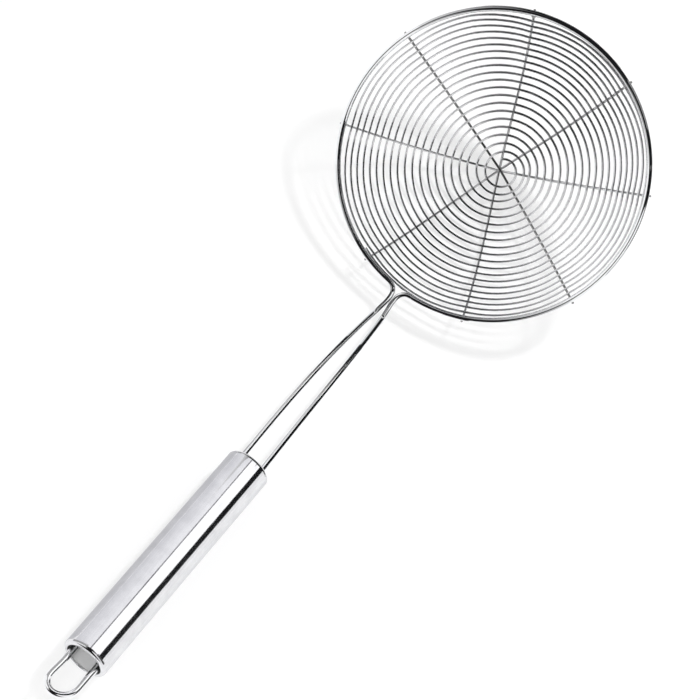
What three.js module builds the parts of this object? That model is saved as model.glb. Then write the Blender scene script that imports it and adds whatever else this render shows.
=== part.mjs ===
// A spiral-wire skimmer: a round basket wound from one thin wire on four crossed spokes, inside a hoop
// whose two ends run back as a shank into a hollow steel handle with a hanging loop.
// Millimetres, +Z up, basket towards +X and handle towards -X. The skimmer lies as it does on a table, on
// the underside of its basket and the front edge of its handle, with the origin under the middle of its box.
import * as THREE from 'three';

// Wires
const frameWire = 2.5;
const spiralWire = 1.1;
const spokeWire = 1.1;
const weldGap = 0.3; // pieces that are welded together lie this far apart

// Basket
const hoopDiameter = 137; // over the outside of the hoop
const bowlDepth = 31.5; // from the hoop down to the middle, at the spiral
const bowlPower = 2.6; // 2 is a parabola, more is flatter in the middle and steeper at the edge
const spiralPitch = 3.49; // from turn to turn along the bowl
const spiralStart = 5.05; // radius of the inner end
const spiralTail = 0.2; // turns at the outer end that run along the hoop
const spiralStartAngle = 30; // degrees from +X
const spokeEnds = [[71, 247], [22.5, 205], [164, 338], [111.5, 295.5]]; // degrees from +X, set by hand
const spokeOverhang = 0.5; // how far the spokes stick out past the hoop
const spokeDip = 12; // radius over which the spokes part to cross one another

// Neck and shank
const neckBend = 4.5; // radius where the hoop turns out into the neck
const neckLength = 9.25; // from the bend to the kink
const kinkEase = 2; // half the length of the kink
const shankAngle = 29.1; // degrees, from the plane of the hoop up to the handle
const shankLength = 95.1; // from the kink to the handle
const shankSpread = 5.1; // half the distance between the legs at the handle
const shankBow = 32; // length over which the legs bow apart
const shankInset = 24; // how far the legs reach into the handle

// Handle
const handleLength = 116.7;
const handleFront = 20.2; // diameter at the front end
const handleRear = 21.3; // diameter at the rear end
const handleWall = 0.8;
const handleRoll = 1.75; // radius of the rolled-in edges
const capThickness = 2;
const plugThickness = 3;
const plugRecess = 12; // from the rear end in to the plug

// Hanging loop
const loopWire = 3;
const loopWidth = 15.4; // over the outside
const loopReach = 21.2; // from the rear end of the handle to the tip
const loopTail = 1; // how far the loop's legs come through the plug

// Counts of steps and sides
const spiralSteps = 24; // in one turn
const hoopSteps = 30; // in half the hoop
const spokeSteps = 18; // in one arm
const spokeCrowding = 1.5; // more than 1 puts the steps closer together in the middle
const shankSteps = 8;
const bendSteps = 5;
const thinSides = 6;
const thickSides = 10;
const roundSides = 40;
const restHalvings = 40; // of the angle at which the skimmer rests

const steel = { color: 0xc4c8cc, metalness: 1, roughness: 0.2 };
const satinSteel = { color: 0xd0d2d6, metalness: 1, roughness: 0.35 };

const radians = THREE.MathUtils.degToRad;
const hoopRadius = (hoopDiameter - frameWire) / 2;
const neckSpread = (frameWire + weldGap) / 2; // half the distance between the legs at the bend
const kinkReach = hoopRadius + neckBend + neckLength;
const loopSpread = (loopWidth - loopWire) / 2;
const handleStart = shankLength;
const handleEnd = shankLength + handleLength;

// Bowl: the surface that holds the middle of the spiral wire. Hoop and spiral both lie on the spokes, so
// the middle of the thinner wire is further out than the middle of the hoop.
const rimSlope = Math.atan((bowlPower * bowlDepth) / hoopRadius);
const hoopOffset = (frameWire - spiralWire) / 2;
const rimDrop = hoopOffset / Math.cos(rimSlope);

// The bowl runs on close past the hoop, so the spiral keeps short of that place by the welding distance
const spiralShort = Math.sqrt(((frameWire + spiralWire) / 2 + weldGap) ** 2 - hoopOffset ** 2);
const spiralEnd = hoopRadius + hoopOffset * Math.sin(rimSlope) - spiralShort * Math.cos(rimSlope);

function bowlHeight(radius) {
  return bowlDepth * ((radius / hoopRadius) ** bowlPower - 1) - rimDrop;
}

function bowlSlope(radius) {
  return Math.atan(Math.tan(rimSlope) * (radius / hoopRadius) ** (bowlPower - 1));
}

function around(radius, angle, height) {
  return new THREE.Vector3(radius * Math.cos(angle), radius * Math.sin(angle), height);
}

// A closed round bar along a row of points, flat at both ends
function barGeometry(points, diameter, sides) {
  const last = points.length - 1;
  const tangents = points.map((point, i) => {
    const before = points[Math.max(i - 1, 0)];
    const after = points[Math.min(i + 1, last)];
    return after.clone().sub(before).normalize();
  });
  const side = new THREE.Vector3(0, 0, 1);
  if (Math.abs(tangents[0].z) > 0.9) side.set(0, 1, 0);
  side.addScaledVector(tangents[0], -side.dot(tangents[0])).normalize();
  const vertices = [];
  points.forEach((point, i) => {
    const turn = new THREE.Quaternion().setFromUnitVectors(tangents[Math.max(i - 1, 0)], tangents[i]);
    side.applyQuaternion(turn).normalize();
    const up = tangents[i].clone().cross(side);
    for (let k = 0; k < sides; k += 1) {
      const angle = (2 * Math.PI * k) / sides;
      const vertex = point.clone().addScaledVector(side, (diameter / 2) * Math.cos(angle));
      vertices.push(vertex.addScaledVector(up, (diameter / 2) * Math.sin(angle)));
    }
  });
  const startMiddle = vertices.length;
  vertices.push(points[0], points[last]);
  const faces = [];
  for (let k = 0; k < sides; k += 1) {
    const next = (k + 1) % sides;
    for (let i = 0; i < last; i += 1) {
      const near = i * sides;
      const far = near + sides;
      faces.push(near + k, near + next, far + next, near + k, far + next, far + k);
    }
    faces.push(startMiddle, next, k);
    faces.push(startMiddle + 1, last * sides + k, last * sides + next);
  }
  const geometry = new THREE.BufferGeometry().setFromPoints(vertices);
  geometry.setIndex(faces);
  geometry.computeVertexNormals();
  return geometry;
}

// A disc with two round holes across its middle, standing on z = 0
function drilledDisc(radius, thickness, holeSpread, holeRadius) {
  const shape = new THREE.Shape().absarc(0, 0, radius, 0, 2 * Math.PI);
  for (const side of [-1, 1]) {
    shape.holes.push(new THREE.Path().absarc(0, side * holeSpread, holeRadius, 0, 2 * Math.PI, true));
  }
  const options = { depth: thickness, bevelEnabled: false, curveSegments: roundSides / 2 };
  return new THREE.ExtrudeGeometry(shape, options);
}

function piece(name, geometry, finish) {
  const mesh = new THREE.Mesh(geometry, new THREE.MeshStandardMaterial(finish));
  mesh.name = name;
  return mesh;
}

// Spiral wire: winds outwards clockwise, seen from above, at a steady pitch along the bowl, and ends along
// the inside of the hoop
function spiralPoints() {
  const points = [];
  let angle = radians(spiralStartAngle);
  let radius = spiralStart;
  let tailSteps = 0;
  while (tailSteps <= spiralTail * spiralSteps) {
    points.push(around(radius, angle, bowlHeight(radius)));
    angle -= (2 * Math.PI) / spiralSteps;
    if (radius === spiralEnd) tailSteps += 1;
    radius = Math.min(radius + (spiralPitch / spiralSteps) * Math.cos(bowlSlope(radius)), spiralEnd);
  }
  return points;
}

// Least gap between stretches of a wire that lie at least half a turn apart
function leastGap(points, diameter) {
  let least = Infinity;
  for (let i = 0; i < points.length; i += 1) {
    for (let j = i + spiralSteps / 2; j < points.length; j += 1) {
      least = Math.min(least, points[i].distanceTo(points[j]) - diameter);
    }
  }
  return least;
}

// Spoke: two arms that lie under the bowl and run out under the hoop. In the middle each spoke passes under
// the one before it. The steps along an arm are shorter there.
function spokePoints(ends, layer) {
  const below = (spiralWire + spokeWire) / 2 + weldGap;
  const reach = hoopDiameter / 2 + spokeOverhang - below * Math.sin(rimSlope);
  const drop = layer * (spokeWire + weldGap);
  const arm = (angle) => Array.from({ length: spokeSteps + 1 }, (_, i) => {
    const radius = reach * (i / spokeSteps) ** spokeCrowding;
    const slope = bowlSlope(radius);
    const dip = (drop * (1 + Math.cos(Math.PI * Math.min(radius / spokeDip, 1)))) / 2;
    const height = bowlHeight(radius) - below * Math.cos(slope) - dip;
    return around(radius + below * Math.sin(slope), radians(angle), height);
  });
  const [first, second] = ends.map(arm);
  return [...first.reverse(), ...second.slice(1)];
}

// Frame wire: one leg of the shank, the neck and half of the hoop, then the same again mirrored
function legSpread(fromKink) {
  const fromNeck = Math.min(fromKink, handleStart) + neckLength;
  const opening = 1 - Math.exp(-fromNeck / shankBow);
  return neckSpread + (shankSpread - neckSpread) * opening;
}

function legPoint(fromKink) {
  const rise = fromKink > 0 ? radians(shankAngle) : 0;
  const reach = kinkReach + fromKink * Math.cos(rise);
  return new THREE.Vector3(-reach, legSpread(fromKink), fromKink * Math.sin(rise));
}

function framePoints() {
  const half = [legPoint(handleStart + shankInset)];
  for (let i = shankSteps; i >= 0; i -= 1) {
    half.push(legPoint(kinkEase + ((handleStart - kinkEase) * i) / shankSteps));
  }
  half.push(legPoint(-kinkEase));
  const bendOut = neckSpread + neckBend;
  const bendReach = Math.sqrt((hoopRadius + neckBend) ** 2 - bendOut ** 2);
  const hoopStart = Math.PI - Math.asin(bendOut / (hoopRadius + neckBend));
  for (let i = 0; i <= bendSteps; i += 1) {
    const angle = THREE.MathUtils.lerp(-Math.PI / 2, hoopStart - Math.PI, i / bendSteps);
    half.push(around(neckBend, angle, 0).add(new THREE.Vector3(-bendReach, bendOut, 0)));
  }
  for (let i = 1; i < hoopSteps; i += 1) {
    half.push(around(hoopRadius, hoopStart * (1 - i / hoopSteps), 0));
  }
  const mirrored = half.map((point) => new THREE.Vector3(point.x, -point.y, point.z)).reverse();
  return [...half, around(hoopRadius, 0, 0), ...mirrored];
}

// Handle tube: a thin wall, slightly wider towards the rear, with both edges rolled in
function handleRadius(fromKink) {
  return THREE.MathUtils.mapLinear(fromKink, handleStart, handleEnd, handleFront, handleRear) / 2;
}

function handleProfile() {
  const edge = (diameter, along, startAngle, roll) => Array.from({ length: bendSteps + 1 }, (_, i) => {
    const angle = startAngle + (Math.PI * i) / (2 * bendSteps);
    const radius = diameter / 2 - handleRoll + roll * Math.cos(angle);
    return new THREE.Vector2(radius, along + roll * Math.sin(angle));
  });
  const skin = (roll) => [
    ...edge(handleFront, handleStart + handleRoll, -Math.PI / 2, roll),
    ...edge(handleRear, handleEnd - handleRoll, 0, roll),
  ];
  const outside = skin(handleRoll);
  const inside = skin(handleRoll - handleWall).reverse();
  return [...outside, ...inside, outside[0].clone()];
}

// Hanging loop: two legs in the plug and a half-round tip
function loopPoints() {
  const tail = handleEnd - plugRecess - plugThickness - loopTail;
  const bend = handleEnd + loopReach - loopWidth / 2;
  const tip = Array.from({ length: 2 * bendSteps + 1 }, (_, i) => {
    const angle = (Math.PI * i) / (2 * bendSteps);
    return new THREE.Vector3(-bend - loopSpread * Math.sin(angle), loopSpread * Math.cos(angle), 0);
  });
  return [new THREE.Vector3(-tail, loopSpread, 0), ...tip, new THREE.Vector3(-tail, -loopSpread, 0)];
}

const spiral = spiralPoints();
console.log(`spiral wire: least gap to itself ${leastGap(spiral, spiralWire).toFixed(2)} mm`);

const basket = [
  piece('spiral_wire', barGeometry(spiral, spiralWire, thinSides), steel),
  ...spokeEnds.map((ends, layer) => {
    return piece(`spoke_${layer + 1}`, barGeometry(spokePoints(ends, layer), spokeWire, thinSides), steel);
  }),
];
const frame = piece('frame_wire', barGeometry(framePoints(), frameWire, thickSides), steel);

// The handle's pieces stand along the -X axis of a group that starts at the kink
const handle = new THREE.Group();
handle.position.x = -kinkReach;
handle.rotation.y = radians(shankAngle);

const tube = piece('handle_tube', new THREE.LatheGeometry(handleProfile(), roundSides), satinSteel);
tube.rotation.z = Math.PI / 2;

const capStart = handleStart + handleRoll + weldGap;
const capRadius = handleRadius(capStart) - handleWall - weldGap;
const capHole = frameWire / 2 + weldGap;
const cap = piece('front_cap', drilledDisc(capRadius, capThickness, legSpread(capStart), capHole), steel);
cap.rotation.y = -Math.PI / 2;
cap.position.x = -capStart;

const plugStart = handleEnd - plugRecess - plugThickness;
const plugRadius = handleRadius(plugStart) - handleWall - weldGap;
const plugHole = loopWire / 2 + weldGap;
const plug = piece('rear_plug', drilledDisc(plugRadius, plugThickness, loopSpread, plugHole), steel);
plug.rotation.y = -Math.PI / 2;
plug.position.x = -plugStart;

const loop = piece('hanging_loop', barGeometry(loopPoints(), loopWire, thickSides), steel);
handle.add(tube, cap, plug, loop);

const skimmer = new THREE.Group();
skimmer.add(frame, ...basket, handle);

// Rest on a table: tip the basket's far side up until the basket and the handle reach equally low
function lowest(meshes, tilt) {
  skimmer.rotation.y = -tilt;
  skimmer.updateMatrixWorld(true);
  return Math.min(...meshes.map((mesh) => new THREE.Box3().setFromObject(mesh, true).min.z));
}

let tooFlat = 0;
let tooSteep = radians(shankAngle);
for (let i = 0; i < restHalvings; i += 1) {
  const tilt = (tooFlat + tooSteep) / 2;
  if (lowest(basket, tilt) < lowest([tube], tilt)) tooFlat = tilt;
  else tooSteep = tilt;
}
const table = lowest([frame, ...basket, tube], tooSteep);
const box = new THREE.Box3().setFromObject(skimmer, true);
const middle = box.getCenter(new THREE.Vector3());
skimmer.position.set(-middle.x, -middle.y, -table);

export default skimmer;
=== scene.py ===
import bpy
import numpy as np
from mathutils import Matrix


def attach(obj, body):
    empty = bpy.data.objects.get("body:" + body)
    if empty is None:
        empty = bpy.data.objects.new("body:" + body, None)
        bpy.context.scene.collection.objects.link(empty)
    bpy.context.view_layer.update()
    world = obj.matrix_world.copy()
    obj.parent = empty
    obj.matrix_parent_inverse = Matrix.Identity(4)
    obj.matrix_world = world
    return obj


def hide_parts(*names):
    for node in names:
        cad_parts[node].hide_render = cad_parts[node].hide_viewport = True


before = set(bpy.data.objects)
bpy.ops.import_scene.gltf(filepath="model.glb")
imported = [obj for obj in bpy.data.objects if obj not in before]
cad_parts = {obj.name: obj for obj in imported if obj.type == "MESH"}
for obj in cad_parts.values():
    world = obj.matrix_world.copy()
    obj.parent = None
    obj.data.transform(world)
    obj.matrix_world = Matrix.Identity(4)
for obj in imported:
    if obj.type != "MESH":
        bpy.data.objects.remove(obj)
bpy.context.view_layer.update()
print("frame loaded:", len(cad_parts), "solids")

# How the skimmer lies on the table: the hoop's far side is tipped up about Y (degrees), hoop centre in mm.
# Shapes are worked out in the basket's own millimetres: the hoop lies in z = 0 round the origin, and +X
# points away from the handle.
rest = dict(tilt=26.186, hoop=(121.876, 0.0, 40.909))


# x cos - z sin, y, x sin + z cos: a turn about Y by the tilt
def turned(vectors):
    tilt = np.radians(rest["tilt"])
    x, y, z = np.moveaxis(np.asarray(vectors, float), -1, 0)
    return np.stack([x * np.cos(tilt) - z * np.sin(tilt), y, x * np.sin(tilt) + z * np.cos(tilt)], -1)


# Turned by the tilt, moved to the hoop's place and given in metres
def onTable(points):
    return (turned(points) + rest["hoop"]) / 1000


# Each vector over its own length
def unit(vectors):
    return vectors / np.linalg.norm(vectors, axis=-1, keepdims=True)


def addObject(name, data):
    made = bpy.data.objects.new(name, data)
    bpy.context.scene.collection.objects.link(made)
    return made


# Camera, in the basket's millimetres: it looks nearly square on to the hoop. Clip distances are in metres.
shot = dict(place=(-11.08, -281.39, 2504.55), forward=(-0.03558, 0.11198, -0.99307),
            right=(0.60301, -0.79002, -0.11069), lens=301.47, sensor=36, clip=(0.05, 50))


def makeCamera():
    forward, right = turned(shot["forward"]), turned(shot["right"])
    axes = np.stack([right, np.cross(right, forward), -forward], 1)  # columns: right, up, back
    data = bpy.data.cameras.new("camera")
    data.lens, data.sensor_width = shot["lens"], shot["sensor"]
    data.clip_start, data.clip_end = shot["clip"]
    camera = addObject("camera", data)
    camera.matrix_world = Matrix.Translation(onTable(shot["place"])) @ Matrix(axes).to_4x4()
    bpy.context.scene.camera = camera


makeCamera()
print("camera placed")


# Wraps a node's output, so that sums and products of outputs write their own Math nodes
class Shade:
    def __init__(self, tree, socket=None):
        self.tree, self.socket = tree, socket

    # Adds a node: its settings first, then the values or links of its sockets
    def node(self, kind, settings, inputs, output=0):
        made = self.tree.nodes.new(kind)
        for key, value in settings.items():
            setattr(made, key, value)
        for key, value in inputs.items():
            if isinstance(value, Shade):
                self.tree.links.new(value.socket, made.inputs[key])
            else:
                made.inputs[key].default_value = value
        return Shade(self.tree, made.outputs[output])

    def math(self, operation, first, second):
        return self.node("ShaderNodeMath", {"operation": operation}, {0: first, 1: second})

    def __add__(self, other):
        return self.math("ADD", self, other)

    def __radd__(self, other):
        return self.math("ADD", other, self)

    def __sub__(self, other):
        return self.math("SUBTRACT", self, other)

    def __rsub__(self, other):
        return self.math("SUBTRACT", other, self)

    def __mul__(self, other):
        return self.math("MULTIPLY", self, other)

    def __rmul__(self, other):
        return self.math("MULTIPLY", other, self)

    def __pow__(self, other):
        return self.math("POWER", self, other)

    def __rpow__(self, other):
        return self.math("POWER", other, self)

    def mix(self, first, second):
        return self.node("ShaderNodeMix", {"data_type": "RGBA"}, {0: self, 6: first, 7: second}, 2)

    def stretched(self, scale):
        return self.node("ShaderNodeVectorMath", {"operation": "MULTIPLY"}, {0: self, 1: scale})

    def noise(self, scale, detail):
        return self.node("ShaderNodeTexNoise", {}, {"Vector": self, "Scale": scale, "Detail": detail})


def newMaterial(name):
    material = bpy.data.materials.new(name)
    material.use_nodes = True
    return material, material.node_tree


# Drawing lines and blotches: octaves of their noise, and the depth of the finest lines in metres
grain = dict(lineDetail=3, blotchDetail=4, lineDepth=0.00005)


# Steel: colour, roughness and a fine bump from drawing lines along the piece and from blotches over it.
# Lines run along the third coordinate of the piece's own wireSpace, blotches lie anywhere in it.
# Heat tint at welds and painted shade along the spokes darken and roughen a wire by a share the mesh carries.
# A tube's inside wall keeps its pale colour between the loop's legs and has painted shade beside them; the
# shade's share is the eighth power of the distance across over pale, up to 1.
def steel(name, look, onAttribute=True):
    material, tree = newMaterial(name)
    shader = tree.nodes["Principled BSDF"]
    start = Shade(tree)
    if onAttribute:
        place = start.node("ShaderNodeAttribute", {"attribute_name": "wireSpace"}, {}, "Vector")
    else:
        place = start.node("ShaderNodeTexCoord", {}, {}, "Object")
    lines = place.stretched((1, 1, look["lineStretch"])).noise(look["lineScale"], grain["lineDetail"])
    blotches = place.noise(look["blotchScale"], grain["blotchDetail"])
    shine = lines * look["lineTone"] + blotches * (1 - look["lineTone"])
    colour = shine.mix((*look["dark"], 1), (*look["light"], 1))
    rough = look["smooth"] + shine * (look["rough"] - look["smooth"])
    # Dark tint: heat tint at the welds, and painted shade all along the spokes
    if "tintAndShadeColour" in look:
        tintAndShade = start.node("ShaderNodeAttribute", {"attribute_name": "weldTintAndShade"}, {}, "Fac")
        colour = tintAndShade.mix(colour, (*look["tintAndShadeColour"], 1))
        rough = rough + tintAndShade * look["tintAndShadeRough"]
    metal = look.get("metal", 1.0)
    # Inner skin: matt and pale, with painted shade beside the loop's legs
    if "inside" in look:
        inside = start.node("ShaderNodeAttribute", {"attribute_name": "inside"}, {}, "Fac")
        across = place.node("ShaderNodeSeparateXYZ", {}, {0: place})
        paintedShade = across.math("MINIMUM", (across * across * (1 / look["pale"] ** 2)) ** 4, 1)
        colour = inside.mix(colour, paintedShade.mix((*look["inside"], 1), (*look["paintedShade"], 1)))
        rough = rough + inside * look["insideRough"]
        metal = 1 - inside
    relief = {"Strength": look["bump"], "Distance": grain["lineDepth"], "Height": lines}
    bump = start.node("ShaderNodeBump", {}, relief)
    if isinstance(metal, Shade):
        tree.links.new(metal.socket, shader.inputs["Metallic"])
    else:
        shader.inputs["Metallic"].default_value = metal
    tree.links.new(colour.socket, shader.inputs["Base Color"])
    tree.links.new(rough.socket, shader.inputs["Roughness"])
    tree.links.new(bump.socket, shader.inputs["Normal"])
    return material


frameSteel = steel("frameSteel", dict(
    dark=(0.84, 0.845, 0.86), light=(0.97, 0.97, 0.98), smooth=0.02, rough=0.08,
    lineStretch=0.02, lineScale=6000, lineTone=0.5, blotchScale=260, bump=0.03))
# Fine wire: its darkest colour serves both the heat tint at welds and the painted shade on the spokes
fineSteel = steel("fineSteel", dict(
    dark=(0.78, 0.785, 0.80), light=(0.94, 0.94, 0.95), smooth=0.03, rough=0.12,
    lineStretch=0.02, lineScale=9000, lineTone=0.5, blotchScale=420, bump=0.05,
    tintAndShadeColour=(0.06, 0.056, 0.052), tintAndShadeRough=0.2))
weldSteel = steel("weldSteel", dict(
    dark=(0.3, 0.29, 0.28), light=(0.6, 0.59, 0.58), smooth=0.2, rough=0.45,
    lineStretch=1, lineScale=2600, lineTone=0.5, blotchScale=900, bump=0.3), onAttribute=False)
# Handle tube: its inner skin is pale, with painted shade beside the loop's legs
tubeSteel = steel("tubeSteel", dict(
    dark=(0.62, 0.62, 0.645), light=(0.94, 0.94, 0.955), smooth=0.04, rough=0.16,
    lineStretch=0.03, lineScale=1800, lineTone=0.3, blotchScale=170, bump=0.05,
    inside=(0.97, 0.97, 0.972), paintedShade=(0.05, 0.05, 0.05), pale=0.0062, insideRough=0.4))
innerSteel = steel("innerSteel", dict(
    dark=(0.84, 0.84, 0.85), light=(0.96, 0.96, 0.965), smooth=0.4, rough=0.6, metal=0.15,
    lineStretch=1, lineScale=1500, lineTone=0.5, blotchScale=300, bump=0.15), onAttribute=False)
print("finishes made")


# Values of a mesh's points, for the shaders to read: one number or one vector for each
def setValues(mesh, name, values):
    kind, key = ("FLOAT", "value") if values.ndim == 1 else ("FLOAT_VECTOR", "vector")
    mesh.attributes.new(name, kind, "POINT").data.foreach_set(key, values.astype(np.float32).ravel())


# Faces between neighbours of a grid of points: rows follow the first index, and columns wrap round.
# wrapRows joins the last row to the first, as on a tube wall; poles close both ends with fans.
def skin(name, grid, space, poles=None, wrapRows=False):
    rows, sides = grid.shape[:2]
    near = np.arange(rows * sides).reshape(rows, sides)
    if wrapRows:
        near = np.vstack([near, near[:1]])
    after = np.roll(near, -1, axis=1)
    faces = np.stack([near[:-1], after[:-1], after[1:], near[1:]], -1).reshape(-1, 4).tolist()
    points, marks = grid.reshape(-1, 3), space.reshape(-1, 3)
    if poles is not None:
        ends = np.broadcast_to([[rows * sides], [rows * sides + 1]], (2, sides))
        faces += np.stack([ends[0], after[0], near[0]], -1).tolist()
        faces += np.stack([ends[1], near[-1], after[-1]], -1).tolist()
        points = np.vstack([points, poles])
        marks = np.vstack([marks, space[[0, -1]].mean(1)])
    mesh = bpy.data.meshes.new(name)
    mesh.from_pydata(points, [], faces)
    setValues(mesh, "wireSpace", marks)
    mesh.shade_smooth()
    mesh.update()
    return mesh


# A piece on the one body, with its material, hiding the solids that it stands for
def addPiece(name, mesh, material, slot, *nodes):
    made = addObject(name, mesh)
    mesh.materials.append(material)
    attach(made, "root")
    if nodes:
        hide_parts(*nodes)


# Points at equal steps along a path, averaged over a raised-cosine window, so that its corners become bends
def eased(path, step, reach):
    along = np.concatenate([[0], np.cumsum(np.linalg.norm(np.diff(path, axis=0), axis=1))])
    even = np.linspace(0, along[-1], int(along[-1] / step) + 1)
    row = np.stack([np.interp(even, along, places) for places in path.T], -1)
    half = int(reach / step)
    window = 1 + np.cos(np.pi * np.arange(-half, half + 1) / (half + 1))
    window /= window.sum()
    lead, tail = row[0] - row[1], row[-1] - row[-2]
    count = np.arange(1, half + 1)[:, None]
    padded = np.vstack([row[0] + lead * count[::-1], row, row[-1] + tail * count])
    return np.stack([np.convolve(places, window, "valid") for places in padded.T], -1)


# Domed wire ends: the dome's rings in degrees from its edge, and its height as a share of the wire's radius
wireEnd = dict(rings=(70, 45, 20), height=0.45)


# A row with its first and last entries repeated for the rings of both domes
def withEnds(row):
    count = len(wireEnd["rings"])
    return np.concatenate([np.repeat(row[:1], count, 0), row, np.repeat(row[-1:], count, 0)])


# A round wire: each path point plus radius times (cos a to its left + sin a upwards), with domed ends.
# wireSpace is (radius cos a, radius sin a, length along the wire) in metres.
def wire(name, path, diameter, sides, up):
    radius = diameter / 2
    ahead = unit(np.gradient(path, axis=0))
    dome = np.radians(wireEnd["rings"])[:, None]
    height = wireEnd["height"] * radius
    first = path[0] - ahead[0] * height * np.sin(dome)
    last = path[-1] + ahead[-1] * height * np.sin(dome[::-1])
    poles = np.stack([path[0] - ahead[0] * height, path[-1] + ahead[-1] * height])
    row = np.vstack([first, path, last])
    ups = withEnds(np.broadcast_to(np.asarray(up, float), path.shape))
    ahead = withEnds(ahead)
    size = np.concatenate([np.cos(dome[:, 0]), np.ones(len(path)), np.cos(dome[::-1, 0])]) * radius
    left = unit(np.cross(ups, ahead))
    over = np.cross(ahead, left)
    around = np.linspace(0, 2 * np.pi, sides, endpoint=False)[None, :]
    ring = np.cos(around)[..., None] * left[:, None] + np.sin(around)[..., None] * over[:, None]
    along = np.concatenate([[0], np.cumsum(np.linalg.norm(np.diff(row, axis=0), axis=1))])[:, None]
    space = np.stack(np.broadcast_arrays(radius * np.cos(around), radius * np.sin(around), along), -1) / 1000
    return skin(name, onTable(row[:, None] + size[:, None, None] * ring), space, onTable(poles))


# Bowl that the middle of the spiral's wire follows, in mm. Under the hoop it passes rimDrop below the middle
# of the frame wire.
bowl = dict(hoopRadius=67.25, depth=31.5, power=2.6, frameWire=2.5, thinWire=1.1, profileSteps=3000)
rimSlope = np.arctan(bowl["power"] * bowl["depth"] / bowl["hoopRadius"])
rimDrop = (bowl["frameWire"] - bowl["thinWire"]) / 2 / np.cos(rimSlope)


# depth * ((radius / hoopRadius)^power - 1) - rimDrop
def bowlHeight(radius):
    return bowl["depth"] * ((radius / bowl["hoopRadius"]) ** bowl["power"] - 1) - rimDrop


# The angle whose tangent is the height's rise for each millimetre of radius
def bowlSlope(radius):
    return np.arctan(np.tan(rimSlope) * (radius / bowl["hoopRadius"]) ** (bowl["power"] - 1))


# A point of the bowl at a radius and an azimuth, moved out along the bowl's normal
def onBowl(radius, azimuth, out):
    slope = bowlSlope(radius)
    reach = radius + out * np.sin(slope)
    height = bowlHeight(radius) - out * np.cos(slope)
    return np.stack([reach * np.cos(azimuth), reach * np.sin(azimuth), height], -1)


# Spokes, by the azimuth of their two ends in degrees from +X, and each one's share of painted shade all along
# it
spokes = dict(ends=((71, 247), (22.5, 205), (164, 338), (111.5, 295.5)), press=0.12, overhang=0.25,
              layer=0.65, dip=9.0, paintedSpokeShade=(0.6, 0.4, 0.3, 0.1), steps=150, sides=12)
armAngles = np.radians(np.array(spokes["ends"]).ravel())
# Bends of the arms, in their order above: millimetres towards larger azimuths at these radii
armBends = dict(radii=(0, 12, 27, 45, 66), shifts=(
    (0, 0, 0, 0, 0), (0, 0, 0, 0, 0), (0.45, 0.68, 0.55, 0.08, -0.20), (-0.45, -0.30, 0, 0.42, 0.85),
    (-0.30, -0.60, -0.94, -0.95, -0.65), (0.30, 0.42, 0.40, 0.30, -0.20), (0.40, 0.47, 0.68, 0.72, 0.35),
    (-0.40, -0.38, -0.24, 0.02, -0.05)))


# The bend of an arm at some radii, as a sideways vector
def armShift(arm, radius):
    aside = np.interp(radius, armBends["radii"], armBends["shifts"][arm])[..., None]
    return aside * [-np.sin(armAngles[arm]), np.cos(armAngles[arm]), 0]


# Spiral: equal pitch along the bowl's profile, clockwise from above, sagging outwards between the spokes.
# Its last turn closes up to the hoop, and its tail runs along the hoop and tucks in over the last tuckTurn
# of a turn. The sag grows up to the radius sagFull and is gone at the end, over the last sagFade millimetres.
spiral = dict(pitch=3.49, start=5.05, end=66.53, tail=0.23, tuck=0.25, tuckTurn=0.07, startAngle=30,
              sag=0.9, sagFull=50, sagFade=1.5, stepsInTurn=120, sides=12)
# The innermost turns sit to one side: millimetres, towards an azimuth, fading out from radius to radius
innerShift = dict(amount=1.3, azimuth=273, radii=(9.5, 13.5))
# Unevenness of the hand winding: millimetres inwards (-) or outwards (+) at the arms and midway between them
uneven = dict(
    azimuths=(0, 22.5, 46.8, 71, 91.3, 111.5, 137.8, 164, 184.5, 205, 226, 247, 271.3, 295.5, 316.8, 338),
    radii=(5, 14, 35, 51, 62, 66),
    shifts=((0, -0.10, -0.15, -0.42, -0.62, -0.85), (0, -0.14, -0.22, -0.50, -1.25, -1.60),
            (0, -0.27, -0.20, -0.41, -0.33, -0.55), (0, -0.30, -0.22, -0.35, -0.60, -0.95),
            (0, -0.43, -0.48, -0.65, -0.72, -0.85), (0, -0.30, -0.46, -0.72, -0.92, -1.05),
            (0, -0.20, -0.34, -0.55, -0.47, -0.60), (0, 0.07, 0.04, -0.04, -0.35, -0.40),
            (0, 0.15, -0.03, -0.12, -0.13, -0.15), (0, 0.15, 0.16, 0.14, 0.00, 0.00),
            (0, 0.15, 0.10, -0.20, -0.38, -0.30), (0, 0.25, 0.25, -0.03, -0.48, -0.30),
            (0, 0.10, -0.18, -0.48, -0.62, -0.40), (0, 0.00, -0.13, -0.39, -0.72, -0.40),
            (0, 0.15, -0.25, -0.52, -0.43, -0.20), (0, 0.00, -0.12, -0.38, -0.55, -0.50)))
# The bowl's profile from its middle to the hoop: radii and lengths along it
profileRadius = np.linspace(0, bowl["hoopRadius"], bowl["profileSteps"])
profileStep = np.hypot(np.diff(profileRadius), np.diff(bowlHeight(profileRadius)))
profileLength = np.concatenate([[0], np.cumsum(profileStep)])
spiralFrom, spiralTo = np.interp([spiral["start"], spiral["end"]], profileRadius, profileLength)
spiralTurns = (spiralTo - spiralFrom) / spiral["pitch"] + spiral["tail"]


# Radius after a number of turns, which stays at the hoop once the spiral has reached it
def spiralRadius(turns):
    length = np.minimum(spiralFrom + spiral["pitch"] * turns, spiralTo)
    return np.interp(length, profileLength, profileRadius)


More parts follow.
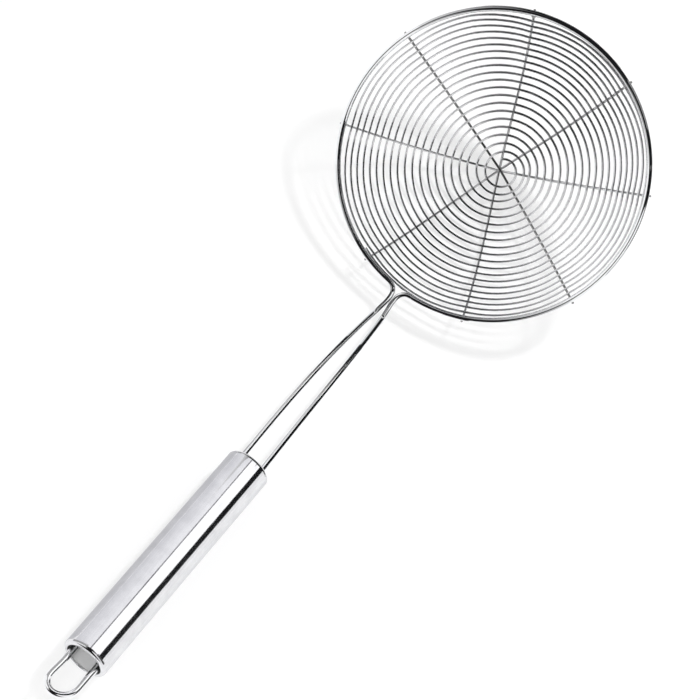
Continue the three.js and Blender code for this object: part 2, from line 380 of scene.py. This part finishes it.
# The unevenness at an azimuth and a radius, straight between the table's entries
def unevenAt(azimuth, radius):
    table = np.array(uneven["shifts"])
    angles = np.radians([*uneven["azimuths"], 360])
    here = np.mod(azimuth, 2 * np.pi)
    columns = np.stack([np.interp(here, angles, [*column, column[0]]) for column in table.T])
    low = np.clip(np.searchsorted(uneven["radii"], radius) - 1, 0, len(uneven["radii"]) - 2)
    share = np.clip((radius - np.take(uneven["radii"], low)) / np.take(np.diff(uneven["radii"]), low), 0, 1)
    spot = np.arange(len(here))
    fade = np.interp(radius, innerShift["radii"], (1, 0))
    aside = innerShift["amount"] * np.cos(azimuth - np.radians(innerShift["azimuth"])) * fade
    return columns[low, spot] * (1 - share) + columns[low + 1, spot] * share + aside


# Share of the way from the arm behind to the arm ahead, 0 to 1, and the angle between these arms
def betweenArms(azimuth):
    arms = np.sort(np.mod(armAngles, 2 * np.pi))
    arms = np.concatenate([[arms[-1] - 2 * np.pi], arms, [arms[0] + 2 * np.pi]])
    here = np.mod(azimuth, 2 * np.pi)
    ahead = np.searchsorted(arms, here, side="right")
    span = arms[ahead] - arms[ahead - 1]
    return (here - arms[ahead - 1]) / span, span


# Dark heat tint at a weld: its share, falling off with the distance by a bell curve of this width in mm
tint = dict(atWeld=0.12, width=0.9)


# Share of dark tint at each point: the wire's painted shade all along it, or the weld's heat tint where that
# is more
def setTintAndShade(mesh, distance, sides, paintedSpokeShade=0):
    tintAndShade = np.maximum(tint["atWeld"] * np.exp(-(withEnds(distance) / tint["width"]) ** 2), paintedSpokeShade)
    setValues(mesh, "weldTintAndShade", np.concatenate([tintAndShade.repeat(sides), tintAndShade[[0, -1]]]))


# Path on the bowl: azimuth startAngle less a circle for each turn, moved out by sag * 4 share (1 - share)
def makeSpiral():
    turns = np.linspace(0, spiralTurns, int(spiralTurns * spiral["stepsInTurn"]))
    radius = spiralRadius(turns)
    azimuth = np.radians(spiral["startAngle"]) - 2 * np.pi * turns
    share, span = betweenArms(azimuth)
    free = np.clip((spiral["end"] - radius) / spiral["sagFade"], 0, 1)
    sag = spiral["sag"] * 4 * share * (1 - share) * np.minimum(radius / spiral["sagFull"], 1) * free
    tuck = spiral["tuck"] * np.clip((turns - spiralTurns) / spiral["tuckTurn"] + 1, 0, 1)
    path = onBowl(radius + unevenAt(azimuth, radius) - tuck, azimuth, sag)
    mesh = wire("spiralWire", path, bowl["thinWire"], spiral["sides"], (0, 0, 1))
    setTintAndShade(mesh, radius * span * np.minimum(share, 1 - share), spiral["sides"])
    addPiece("spiralWire", mesh, fineSteel, "fine_wire", "spiral_wire")


makeSpiral()
print("spiral wound:", round(spiralTurns, 2), "turns")

# Crossings of the spiral and the arms: every turn count at which the spiral's azimuth is that of an arm
spokeBelow = bowl["thinWire"] - spokes["press"]
firstTurn = np.mod(np.radians(spiral["startAngle"]) - armAngles, 2 * np.pi) / (2 * np.pi)
crossTurns = firstTurn[:, None] + np.arange(int(spiralTurns) + 1)[None, :]
crossMade = crossTurns < spiralTurns
crossRadius = spiralRadius(crossTurns)


# Spoke: two arms under the spiral; in the middle each spoke dips under the one before it
def makeSpoke(index):
    reach = bowl["hoopRadius"] + bowl["frameWire"] / 2 + spokes["overhang"] - spokeBelow * np.sin(rimSlope)
    radius = reach * np.linspace(1, 0, spokes["steps"])
    dip = index * spokes["layer"] * (1 + np.cos(np.pi * np.minimum(radius / spokes["dip"], 1))) / 2
    arms, away = [], []
    for arm in (2 * index, 2 * index + 1):
        straight = onBowl(radius, armAngles[arm], spokeBelow) - dip[:, None] * [0, 0, 1]
        arms.append(straight + armShift(arm, radius))
        away.append(np.abs(radius[:, None] - crossRadius[arm][crossMade[arm]]).min(1))
    path = np.vstack([arms[0], arms[1][-2::-1]])
    name = "spoke%d" % (index + 1)
    mesh = wire(name, path, bowl["thinWire"], spokes["sides"], (0, 0, 1))
    # Painted shade all along the spoke, and heat tint at its welds
    setTintAndShade(mesh, np.concatenate([away[0], away[1][-2::-1]]), spokes["sides"], spokes["paintedSpokeShade"][index])
    addPiece(name, mesh, fineSteel, "fine_wire", "spoke_%d" % (index + 1))


for spokeIndex in range(len(spokes["ends"])):
    makeSpoke(spokeIndex)
print("spokes laid")

# Weld beads: small flattened balls where the spiral and the hoop lie on the spokes
beads = dict(size=(0.52, 0.5, 0.4), rimSize=(0.9, 0.75, 0.6), uneven=0.18, sides=8, rows=4, seed=7)


# Each bead: its place plus a ball's grid stretched along the turn, the spoke and the bowl's normal
def makeBeads():
    arm, turn = np.nonzero(crossMade)
    rimArms = np.arange(len(armAngles))
    radius = np.concatenate([crossRadius[arm, turn], np.full(len(rimArms), bowl["hoopRadius"])])
    beadArms = np.concatenate([arm, rimArms])
    azimuth = armAngles[beadArms]
    slope = bowlSlope(radius)
    place = onBowl(radius + unevenAt(azimuth, radius), azimuth, spokeBelow / 2)
    place += np.stack([armShift(each, radius) for each in rimArms])[beadArms, np.arange(len(beadArms))]
    onTurn = np.stack([-np.sin(azimuth), np.cos(azimuth), 0 * slope], -1)
    onSpoke = np.stack([np.cos(slope) * np.cos(azimuth), np.cos(slope) * np.sin(azimuth), np.sin(slope)], -1)
    normal = np.cross(onTurn, onSpoke)
    size = np.vstack([np.tile(beads["size"], (len(arm), 1)), np.tile(beads["rimSize"], (len(rimArms), 1))])
    size *= 1 + beads["uneven"] * np.random.default_rng(beads["seed"]).uniform(-1, 1, size.shape)
    polar = np.linspace(0, np.pi, beads["rows"] + 2)[1:-1, None]
    around = np.linspace(0, 2 * np.pi, beads["sides"], endpoint=False)[None, :]
    ball = np.broadcast_arrays(np.sin(polar) * np.cos(around), np.sin(polar) * np.sin(around), np.cos(polar))
    ball = np.vstack([np.stack(ball, -1).reshape(-1, 3), [[0, 0, 1], [0, 0, -1]]])
    axes = np.stack([onTurn, onSpoke, normal], 1) * size[:, :, None]
    points = place[:, None] + np.einsum("vk,bkc->bvc", ball, axes)
    grid = np.arange(beads["rows"] * beads["sides"]).reshape(beads["rows"], beads["sides"])
    after = np.roll(grid, -1, axis=1)
    top, bottom = len(ball) - 2, len(ball) - 1
    quads = np.stack([grid[:-1], grid[1:], after[1:], after[:-1]], -1).reshape(-1, 4)
    caps = np.concatenate([np.stack([np.full(beads["sides"], top), grid[0], after[0]], -1),
                           np.stack([np.full(beads["sides"], bottom), after[-1], grid[-1]], -1)])
    shift = (np.arange(len(place)) * len(ball))[:, None, None]
    faces = (quads[None] + shift).reshape(-1, 4).tolist() + (caps[None] + shift).reshape(-1, 3).tolist()
    mesh = bpy.data.meshes.new("weldBeads")
    mesh.from_pydata(onTable(points.reshape(-1, 3)), [], faces)
    mesh.shade_smooth()
    mesh.update()
    addPiece("weldBeads", mesh, weldSteel, "fine_wire")
    return len(place)


print("weld beads:", makeBeads())

# Frame wire: legs of the shank, kink, neck and hoop, as one bent wire. Between the hoop and the tube it
# sways sideways by half a sine wave, as bent by hand. The straight part ends clear of the bend into the hoop.
neck = dict(bend=4.5, length=9.25, spread=1.29, shankAngle=29.1, shankLength=95.1, shankSpread=5.1, bow=30.5,
            lead=6.5, sway=0.9, inset=24.0, clear=1.5, legSteps=300, bendSteps=30, hoopSteps=300,
            step=0.5, ease=1.6, sides=20)
kinkReach = bowl["hoopRadius"] + neck["bend"] + neck["length"]
rise = np.radians(neck["shankAngle"])


# A leg at a distance from the kink: spread + (shankSpread - spread) * (1 - exp(-(distance + lead) / bow))
def legPoints(fromKink):
    fromLead = np.maximum(np.minimum(fromKink, neck["shankLength"]) + neck["lead"], 0)
    opening = 1 - np.exp(-fromLead / neck["bow"])
    spread = neck["spread"] + (neck["shankSpread"] - neck["spread"]) * opening
    up = np.where(fromKink > 0, rise, 0)
    return np.stack([-kinkReach - fromKink * np.cos(up), spread, fromKink * np.sin(up)], -1)


# Half the wire is a leg, an arc of the radius bend and half the hoop; the other half mirrors it across Y
def makeFrameWire():
    legEnds = neck["shankLength"] + neck["inset"], neck["clear"] - neck["length"]
    leg = legPoints(np.linspace(*legEnds, neck["legSteps"]))
    bendOut = neck["spread"] + neck["bend"]
    bendReach = np.sqrt((bowl["hoopRadius"] + neck["bend"]) ** 2 - bendOut ** 2)
    hoopStart = np.pi - np.arcsin(bendOut / (bowl["hoopRadius"] + neck["bend"]))
    angle = np.linspace(-np.pi / 2, hoopStart - np.pi, neck["bendSteps"])
    bend = neck["bend"] * np.stack([np.cos(angle), np.sin(angle), 0 * angle], -1)
    bend += [-bendReach, bendOut, 0]
    angle = np.linspace(hoopStart, 0, neck["hoopSteps"])[1:]
    hoop = bowl["hoopRadius"] * np.stack([np.cos(angle), np.sin(angle), 0 * angle], -1)
    half = np.vstack([leg, bend, hoop])
    path = eased(np.vstack([half, half[-2::-1] * [1, -1, 1]]), neck["step"], neck["ease"])
    fromBend = (-kinkReach - path[:, 0]) / np.cos(rise) + neck["length"]
    share = np.clip(fromBend / (neck["shankLength"] + neck["length"]), 0, 1)
    path[:, 1] += neck["sway"] * np.sin(np.pi * share)
    addPiece("frameWire", wire("frameWire", path, bowl["frameWire"], neck["sides"], (0, 0, 1)),
             frameSteel, "frame_steel", "frame_wire")


makeFrameWire()
print("frame wire bent")


# Handle coordinates: distance from the kink along the handle, across (+Y) and up out of its upper side
def onHandle(points):
    along, across, up = np.moveaxis(np.asarray(points, float), -1, 0)
    return np.stack([-kinkReach - along * np.cos(rise) + up * np.sin(rise), across,
                     along * np.sin(rise) + up * np.cos(rise)], -1)


# Handle tube: a profile turned round the handle's axis. Outside and inside skins are a wall apart and both
# edges roll in past a right angle.
handle = dict(length=116.7, front=20.2, rear=21.3, wall=0.8, roll=1.75, curl=98,
              rollSteps=14, bodySteps=40, around=144)
handleStart = neck["shankLength"]
handleEnd = handleStart + handle["length"]


# One skin of the tube, as rows of (radius, distance along): front edge, straight body and rear edge.
# An edge is an arc of the roll's radius, which is smaller by the wall on the inside.
def tubeSkin(roll):
    angle = np.linspace(-np.radians(handle["curl"]), 0, handle["rollSteps"])
    out, along = roll * np.cos(angle), roll * np.sin(angle)
    front = np.stack([handle["front"] / 2 - handle["roll"] + out, handleStart + handle["roll"] + along], -1)
    rear = np.stack([handle["rear"] / 2 - handle["roll"] + out, handleEnd - handle["roll"] - along], -1)
    share = np.linspace(0, 1, handle["bodySteps"])[1:-1, None]
    return np.vstack([front, front[-1] * (1 - share) + rear[-1] * share, rear[::-1]])


# The profile turned round the axis: radius cos a across and -radius sin a up; inside is 1 on the inner skin
def makeHandleTube():
    profile = np.vstack([tubeSkin(handle["roll"]), tubeSkin(handle["roll"] - handle["wall"])[::-1]])
    radius, along = profile[:, :1], profile[:, 1:]
    around = np.linspace(0, 2 * np.pi, handle["around"], endpoint=False)[None, :]
    grid = np.stack(np.broadcast_arrays(along, radius * np.cos(around), -radius * np.sin(around)), -1)
    space = np.stack(np.broadcast_arrays(radius * np.cos(around), radius * np.sin(around), along), -1) / 1000
    mesh = skin("handleTube", onTable(onHandle(grid)), space, wrapRows=True)
    setValues(mesh, "inside", np.repeat(np.arange(len(profile)) >= len(profile) // 2, handle["around"]))
    addPiece("handleTube", mesh, tubeSteel, "handle_steel", "handle_tube")


makeHandleTube()
print("handle tube turned")

# Hanging loop: two legs out of the rear plug and a half-round tip, bent a little askew. The tip reaches
# further by skew times the distance across, and the +Y leg bulges out before it by a bell curve.
loop = dict(width=15.4, reach=21.2, wire=3.0, tail=16.0, skew=0.22, bulge=0.6, bulgeLong=5.0,
            tipSteps=60, legSteps=40, step=0.5, ease=2.0, sides=20)


def makeLoop():
    spread = (loop["width"] - loop["wire"]) / 2
    bend = handleEnd + loop["reach"] - loop["width"] / 2
    angle = np.linspace(0, np.pi, loop["tipSteps"])
    tip = np.stack([bend + spread * np.sin(angle), spread * np.cos(angle), 0 * angle], -1)
    leg = np.linspace(handleEnd - loop["tail"], bend, loop["legSteps"])[:-1]
    legs = [np.stack([leg, 0 * leg + side * spread, 0 * leg], -1) for side in (1, -1)]
    row = np.vstack([legs[0], tip, legs[1][::-1]])
    row[:, 0] += loop["skew"] * row[:, 1] * np.clip((row[:, 0] - handleEnd) / (bend - handleEnd), 0, 1)
    bell = np.exp(-((row[:, 0] - bend) / loop["bulgeLong"]) ** 2)
    row[:, 1] += loop["bulge"] * bell * (1 + row[:, 1] / spread) / 2
    path = eased(onHandle(row), loop["step"], loop["ease"])
    up = onHandle([0, 0, 1]) - onHandle([0, 0, 0])
    addPiece("hangingLoop", wire("hangingLoop", path, loop["wire"], loop["sides"], up),
             frameSteel, "frame_steel", "hanging_loop")


makeLoop()
for node in ("front_cap", "rear_plug"):
    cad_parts[node].data.materials.clear()
    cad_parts[node].data.materials.append(innerSteel)
print("loop, cap and plug done")

# Stage: white floor and surroundings, one soft lamp overhead, and cards that only reflections see.
# The floor glows less under the basket, which paints shade there. Lengths are in metres.
stage = dict(ambient=0.62, floorMatt=0.96, floorGlow=0.53, floorTone=1.12, floorRadii=(0.02, 4),
             floorRings=12, floorSides=48, floorBelow=0.0001,
             # Depth, place and width of the painted shade under the basket, a dip in the floor's glow
             hollow=0.14, hollowAt=(0.114, 0.004, 0), hollowWide=0.028,
             lampShare=0.5, lampTilt=(0.585, -0.194, 0.788), lampFar=1.9, lampAt=(0.06, 0, 0.03),
             lampWide=0.28)


# Glow whose tone is read from the mesh
def emitter(name):
    material, tree = newMaterial(name)
    tree.nodes.clear()
    tone = Shade(tree).node("ShaderNodeAttribute", {"attribute_name": "tone"}, {}, "Color")
    glow = Shade(tree).node("ShaderNodeEmission", {}, {"Color": tone, "Strength": 1})
    tree.links.new(glow.socket, tree.nodes.new("ShaderNodeOutputMaterial").inputs["Surface"])
    return material


# 1 for rays that see the surroundings directly, in gloss or through glass, and 0 for those that only light
def seenRays(tree):
    path = tree.nodes.new("ShaderNodeLightPath")
    kinds = ("Is Camera Ray", "Is Glossy Ray", "Is Transmission Ray")
    camera, glossy, through = (Shade(tree, path.outputs[kind]) for kind in kinds)
    return camera.math("MINIMUM", camera + glossy + through, 1)


# White all round: at full strength where it is seen, and at ambient where it only lights
def makeWorld():
    world = bpy.data.worlds.new("studio")
    world.use_nodes = True
    tree = world.node_tree
    strength = stage["ambient"] + seenRays(tree) * (1 - stage["ambient"])
    background = tree.nodes["Background"]
    background.inputs["Color"].default_value = (1, 1, 1, 1)
    tree.links.new(strength.socket, background.inputs["Strength"])
    bpy.context.scene.world = world


# Matt floor with a share of glow, less round a spot under the basket for painted shade: floorGlow less
# depth * exp(-(distance / width)^2)
def makeFloor():
    material, tree = newMaterial("paleFloor")
    tree.nodes.clear()
    start = Shade(tree)
    matt = start.node("ShaderNodeBsdfDiffuse", {}, {"Color": (*[stage["floorMatt"]] * 3, 1)})
    glow = start.node("ShaderNodeEmission", {}, {"Color": (1, 1, 1, 1), "Strength": stage["floorTone"]})
    place = start.node("ShaderNodeTexCoord", {}, {}, "Object")
    between = {0: place, 1: stage["hollowAt"]}
    away = start.node("ShaderNodeVectorMath", {"operation": "DISTANCE"}, between, "Value")
    hollow = np.e ** (away * away * (-1 / stage["hollowWide"] ** 2)) * stage["hollow"]
    share = seenRays(tree) * (stage["floorGlow"] - hollow)
    both = start.node("ShaderNodeMixShader", {}, {0: share, 1: matt, 2: glow})
    tree.links.new(both.socket, tree.nodes.new("ShaderNodeOutputMaterial").inputs["Surface"])
    radius = np.linspace(*stage["floorRadii"], stage["floorRings"])[:, None]
    around = np.linspace(0, 2 * np.pi, stage["floorSides"], endpoint=False)[None, :]
    rings = np.broadcast_arrays(radius * np.cos(around), radius * np.sin(around), -stage["floorBelow"])
    near = np.arange(rings[0].size).reshape(rings[0].shape)
    after = np.roll(near, -1, axis=1)
    faces = np.stack([near[:-1], near[1:], after[1:], after[:-1]], -1).reshape(-1, 4).tolist()
    faces.append(near[0].tolist())
    mesh = bpy.data.meshes.new("floor")
    mesh.from_pydata(np.stack(rings, -1).reshape(-1, 3), [], faces)
    mesh.materials.append(material)
    addObject("floor", mesh)


# Its energy is lampShare * pi^2 * lampFar^2, so that the light it gives doesn't change with its distance
def makeLamp():
    data = bpy.data.lights.new("softLamp", "AREA")
    data.shape, data.size = "DISK", stage["lampWide"]
    data.energy = stage["lampShare"] * np.pi ** 2 * stage["lampFar"] ** 2
    lamp = addObject("softLamp", data)
    away = unit(np.array(stage["lampTilt"], float))
    side = unit(np.cross([0.0, 1.0, 0.0], away))
    axes = np.stack([side, np.cross(away, side), away], 1)
    lamp.matrix_world = Matrix.Translation(away * stage["lampFar"] + stage["lampAt"]) @ Matrix(axes).to_4x4()
    lamp.visible_glossy = False


# Cards: rows and columns of their grids, heights of flat ones over the table in metres, how far a strip
# slants towards the basket for each metre across, and the troughs' distance from the handle's axis in mm
cards = dict(rows=9, columns=25, stripHeight=0.0004, sectorHeight=0.0005, stripSlant=0.456, troughFar=40)


# A card on a grid of table points (metres), its tone going evenly from the first column to the last
def addCard(name, points, tones, lights=False):
    rows, columns = points.shape[:2]
    near = np.arange(rows * columns).reshape(rows, columns)
    faces = np.stack([near[:-1, :-1], near[:-1, 1:], near[1:, 1:], near[1:, :-1]], -1).reshape(-1, 4)
    mesh = bpy.data.meshes.new(name)
    mesh.from_pydata(points.reshape(-1, 3), [], faces.tolist())
    across = np.linspace(0, 1, columns)[None, :, None]
    tone = np.array(tones[0]) * (1 - across) + np.array(tones[1]) * across
    setValues(mesh, "tone", np.broadcast_to(tone, points.shape))
    mesh.materials.append(cardGlow)
    card = addObject(name, mesh)
    card.visible_camera = card.visible_shadow = False
    card.visible_diffuse, card.visible_glossy = lights, not lights


# Part of a ball: centre + far * (sin(lean) axis + cos(lean) (cos(roll) start + sin(roll) third))
def makeCard(name, lean, roll, far, tones, centre, axis, start):
    axis, start = unit(np.array(axis, float)), np.array(start, float)
    start = unit(start - axis * (start @ axis))
    third = np.cross(axis, start)
    leans = np.radians(np.linspace(*lean, cards["rows"]))[:, None, None]
    rolls = np.radians(np.linspace(*roll, cards["columns"]))[None, :, None]
    addCard(name, onTable(np.array(centre) + far * (
        np.sin(leans) * axis + np.cos(leans) * (np.cos(rolls) * start + np.sin(rolls) * third))), tones)


# A strip on the table, slanting towards the basket away from the handle: x and y ranges in metres
def makeStrip(name, x, y, tones):
    across = np.geomspace(*y, cards["columns"])[None, :]
    ahead = np.linspace(*x, cards["rows"])[:, None] + cards["stripSlant"] * np.abs(across)
    addCard(name, np.stack(np.broadcast_arrays(ahead, across, 0 * across + cards["stripHeight"]), -1), tones)


# A sector on the table round the hoop's centre: radii in mm, azimuths in degrees
def makeSector(name, radii, azimuths, tones):
    radius = np.linspace(*radii, cards["rows"])[:, None]
    azimuth = np.radians(np.linspace(*azimuths, cards["columns"]))[None, :]
    points = np.broadcast_arrays(radius * np.cos(azimuth), radius * np.sin(azimuth), 0 * radius)
    addCard(name, np.stack(points, -1) / 1000 + [rest["hoop"][0] / 1000, 0, cards["sectorHeight"]], tones)


# A trough over the handle's axis: troughFar * (-sin(roll) across + cos(roll) up). Its range of rolls is
# given at two or more distances from the kink and goes evenly from each to the next.
def makeTrough(name, along, rolls, tones):
    far = cards["troughFar"]
    lengths = np.linspace(along[0], along[-1], cards["columns"])[:, None]
    first, last = (np.interp(lengths, along, edge) for edge in np.transpose(rolls))
    roll = np.radians(first + (last - first) * np.linspace(0, 1, cards["columns"]))
    points = np.broadcast_arrays(lengths, -far * np.sin(roll), far * np.cos(roll))
    addCard(name, onTable(onHandle(np.stack(points, -1))), tones)


# A flat card over the handle's axis: ranges along and across it, and its height
def makeSheet(name, along, across, height, tones, lights):
    points = np.broadcast_arrays(np.linspace(*along, cards["rows"])[:, None],
                                 np.linspace(*across, cards["columns"])[None, :], height)
    addCard(name, onTable(onHandle(np.stack(points, -1))), tones, lights)


# The same grey from a card's first column to its last
def grey(tone):
    return [(tone, tone, tone)] * 2


makeWorld()
makeFloor()
makeLamp()
cardGlow = emitter("cardGlow")
black = [(0.012, 0.012, 0.013)] * 2
fading = [black[0], (0.75, 0.75, 0.75)]

# Dark screens round the basket, by lean and roll in degrees and distance in mm, a paler patch before them
# and a dark spot overhead
basketAxes = dict(centre=(0, 0, 0), axis=(0, 0, 1), start=(1, 0, 0))
spotAxes = dict(basketAxes, axis=(0, 0.105, 0.995))
for cardName, lean, roll, far, tones in (
        ("closeScreen", (-22, 48), (-50, 30), 300, black),
        ("closeEdge", (-22, 28), (-66, -50), 300, black),
        ("closeCorner", (-22, 14), (-84, -66), 300, black),
        ("farEdge", (26, 46), (-66, -50), 10000, black),
        ("closeWing", (-22, 48), (30, 68), 300, fading),
        ("farScreen", (44, 86), (-66, 30), 10000, black),
        ("farWing", (44, 86), (30, 68), 10000, fading),
        ("nearScreen", (20, 86), (150, 212), 10000, black),
        ("nearWing", (20, 86), (212, 244), 10000, fading),
        ("nearEnd", (20, 86), (150, 122), 10000, fading),
        ("sideStrip", (0, 24), (262, 286), 3000, grey(0.08)),
        ("keyCard", (14, 30), (-36, -16), 290, grey(0.6))):
    makeCard(cardName, lean, roll, far, tones, **basketAxes)
makeCard("overheadSpot", (73, 90), (0, 360), 9500, black, **spotAxes)

# Bands that the handle tube mirrors: a glow, a fine line, a dark stripe and a pale side
tubeAxes = dict(far=9000, centre=onHandle([handleStart + handle["length"] / 2, 0, 0]),
                axis=(np.cos(rise), 0, -np.sin(rise)), start=(np.sin(rise), 0, np.cos(rise)))
for cardName, lean, roll, tones in (
        ("glowCard", (18, 31), (-1, 48), grey(1.35)),
        ("lineCard", (16, 33), (-6, -1), [(0.15, 0.15, 0.16)] * 2),
        ("stripeCard", (16, 33), (48, 74), black),
        ("sideCard", (10, 40), (-95, -6), [(0.74, 0.74, 0.77), (1.06, 1.06, 1.08)])):
    makeCard(cardName, lean, roll, tones=tones, **tubeAxes)
makeStrip("leftStrip", (-0.168, -0.04), (0.5, 0.009), [(0.76, 0.76, 0.78), (0.58, 0.58, 0.6)])
makeStrip("rightStrip", (-0.168, -0.04), (-0.03, -0.006), [(1.05, 1.05, 1.05), (0.65, 0.65, 0.66)])

# Dark lines on the shank and the loop, light on the loop's plug, and shade on the table
makeTrough("legScreen", (-2, 36, 79), ((66, 112), (2, 112), (2, 112)), black)
makeTrough("legShade", (-2, 38), ((-75, -4), (-84, -72)), black)
makeTrough("legEdge", (24, 79), ((-98, -66), (-98, -66)), grey(0.3))
makeSheet("rearCard", (handleEnd + 15, handleEnd + 45), (-15, 15), 38, grey(4), lights=True)
makeTrough("loopScreen", (199, 222), ((34, 85), (34, 85)), grey(0.1))
makeTrough("loopShade", (199, 222), ((-85, -14), (-85, -14)), grey(0.4))
makeSector("tableShade", (70, 300), (-8, 38), grey(0.05))
makeSector("basketShade", (20, 85), (-60, 27), grey(0.25))
bpy.context.scene.view_settings.view_transform = "Standard"
print("stage set")
